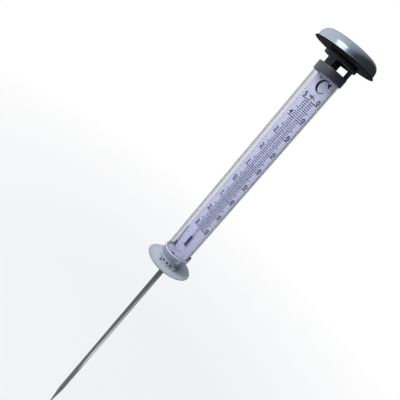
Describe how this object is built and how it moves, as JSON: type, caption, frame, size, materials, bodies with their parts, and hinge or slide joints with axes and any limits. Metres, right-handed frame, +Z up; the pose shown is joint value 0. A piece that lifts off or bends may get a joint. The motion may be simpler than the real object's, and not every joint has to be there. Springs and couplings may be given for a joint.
{
  "type": "garden thermometer",
  "caption": "Garden thermometer on a steel ground stake: clear tube with a scale card and spirit stem, open neck and domed solar head.",
  "frame": {"origin": "tip of the stake, on the stake's axis, which is the bottom centre of the bounding box", "axes": "+Z up along the stake; the scale faces -Y; +X to the right of the scale seen from the front"},
  "size_m": [0.1098, 0.1098, 0.8958],
  "materials": {
    "point_steel": "turned steel",
    "stake_steel": "bright drawn steel tube",
    "brass": "turned",
    "disc_plastic": "moulded, pale blue-grey",
    "socket_plastic": "moulded, blue-grey",
    "screw_steel": "plated",
    "ring_plastic": "moulded, grey-violet",
    "seal_rubber": "black rubber",
    "clear_acrylic": "clear extruded acrylic",
    "collar_plastic": "moulded, slate",
    "foot_plastic": "moulded, grey",
    "card_plastic": "pale lavender sheet",
    "glass": "clear drawn glass",
    "blue_spirit": "dark blue thermometer spirit",
    "clip_plastic": "clear moulded clips",
    "black_plastic": "moulded, black",
    "silver_plastic": "silver-blue painted moulding, glossy",
    "window_plastic": "clear moulding",
    "solar_silicon": "dark blue silicon",
    "diode_epoxy": "clear epoxy",
    "lead_wire": "tinned",
    "inner_plastic": "moulded, black",
    "battery_sleeve": "printed sleeve, plain green",
    "contact_metal": "nickel plated",
    "board_laminate": "green laminate",
    "board_components": "black components",
    "switch_plastic": "moulded, grey"
  },
  "bodies": {
    "stake": {"stake_tip": "point_steel", "stake_tube": "stake_steel", "stake_plug": "brass", "ground_disc": "disc_plastic", "base_socket": "socket_plastic", "stake_washer": "screw_steel", "stake_screw": "screw_steel"},
    "tube": {"lower_ring": "ring_plastic", "lower_seal": "seal_rubber", "collar_seal": "seal_rubber", "clear_tube": "clear_acrylic", "top_collar": "collar_plastic", "card_foot": "foot_plastic", "scale_card": "card_plastic", "glass_stem": "glass", "spirit_bulb": "blue_spirit", "spirit_column": "blue_spirit", "stem_clips": "clip_plastic", "neck_frame": "black_plastic", "neck_screws": "screw_steel"},
    "meniscus": {"spirit_meniscus": "blue_spirit"},
    "head": {"underside_plate": "black_plastic", "dome_seal": "seal_rubber", "dome_shell": "silver_plastic", "cell_window": "window_plastic", "solar_cell": "solar_silicon", "plate_screws": "screw_steel", "light_tube": "black_plastic", "light_diode": "diode_epoxy", "diode_leads": "lead_wire", "battery_cradle": "inner_plastic", "battery_cell": "battery_sleeve", "battery_contact": "contact_metal", "battery_spring": "contact_metal", "circuit_board": "board_laminate", "board_parts": "board_components", "board_screws": "screw_steel", "switch_housing": "inner_plastic"},
    "switch": {"switch_slider": "switch_plastic"}
  },
  "joints": [
    {"name": "base_twist", "type": "hinge", "parent": "stake", "child": "tube", "pos_m": [0, 0, 0.4467], "axis": [0, 0, 1], "range_deg": [0, 30]},
    {"name": "head_twist", "type": "hinge", "parent": "tube", "child": "head", "pos_m": [0, 0, 0.8678], "axis": [0, 0, 1], "range_deg": [0, 30]},
    {"name": "switch_slide", "type": "slide", "parent": "head", "child": "switch", "axis": [1, 0, 0], "range_m": [0, 0.003]},
    {"name": "reading", "type": "slide", "parent": "tube", "child": "meniscus", "axis": [0, 0, 1], "range_m": [-0.14591, 0.13201], "deforming": ["spirit_column"]}
  ]
}
